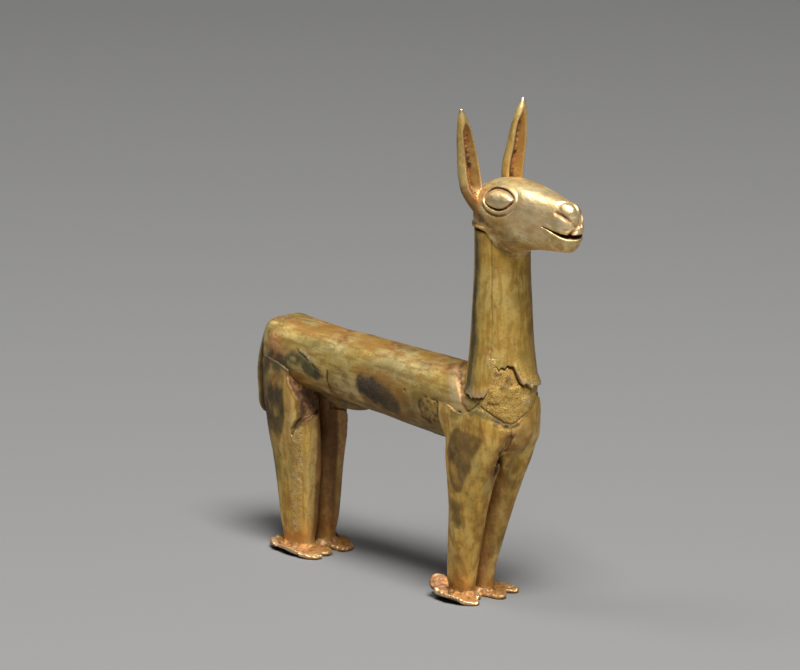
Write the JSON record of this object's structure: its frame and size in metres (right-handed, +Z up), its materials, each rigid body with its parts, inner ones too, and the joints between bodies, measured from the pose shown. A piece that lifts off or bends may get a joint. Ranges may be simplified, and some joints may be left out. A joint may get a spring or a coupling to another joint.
{
  "type": "inca llama figure",
  "caption": "Small standing llama built of soldered hammered gold sheet, with upright ears, a tube neck and body, and four legs on thin flat soles.",
  "frame": {"origin": "on the floor, in the middle of the figure's length and width", "axes": "+X towards the nose, +Y towards the figure's left side, +Z up"},
  "size_m": [0.059, 0.0114, 0.064],
  "materials": {
    "gold": "old hammered gold alloy, satin, stained brown and green-grey",
    "pale_gold": "smooth satin gold alloy, dark dirt in the grooves",
    "red_gold": "reddish, worn bright on the edges"
  },
  "bodies": {
    "root": {"trunk": "gold", "neck": "gold", "head": "pale_gold", "ear_right": "pale_gold", "ear_left": "pale_gold", "leg_front_right": "gold", "leg_front_left": "gold", "leg_hind_right": "gold", "leg_hind_left": "gold", "sole_front_right": "red_gold", "sole_front_left": "red_gold", "sole_hind_right": "red_gold", "sole_hind_left": "red_gold", "tail": "gold"}
  },
  "joints": []
}
